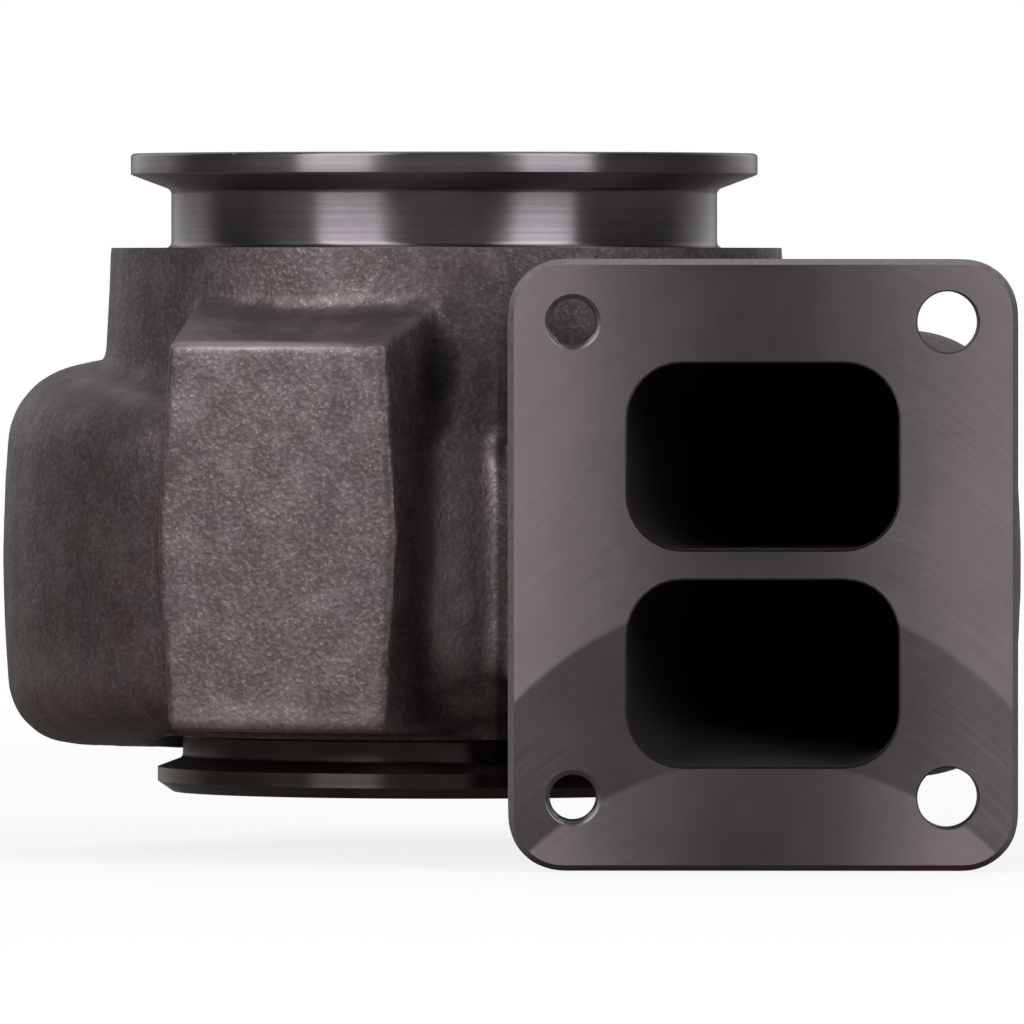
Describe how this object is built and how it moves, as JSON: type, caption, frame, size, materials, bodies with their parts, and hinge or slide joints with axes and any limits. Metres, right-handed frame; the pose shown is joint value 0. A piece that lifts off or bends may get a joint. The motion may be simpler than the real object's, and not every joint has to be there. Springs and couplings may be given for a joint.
{
  "type": "turbine housing",
  "caption": "Cast iron turbine housing with a divided rectangular inlet flange, a shrinking twin channel volute and a clamp band flange at each end of its axis.",
  "frame": {"origin": "centre of the inlet flange's machined face, on the flat end of the divider between the two ports", "axes": "-Y points out of the inlet face, against the gas; +Z runs parallel to the turbine axis towards the bearing housing; +X points away from the turbine axis, which lies 70.7 mm to -X and 120 mm to +Y"},
  "size_m": [0.2312, 0.2357, 0.1588],
  "materials": {
    "turbine_housing": "sand cast skin, with turned clamp flanges and a milled inlet face"
  },
  "bodies": {
    "root": {"turbine_housing": "turbine_housing"}
  },
  "joints": []
}
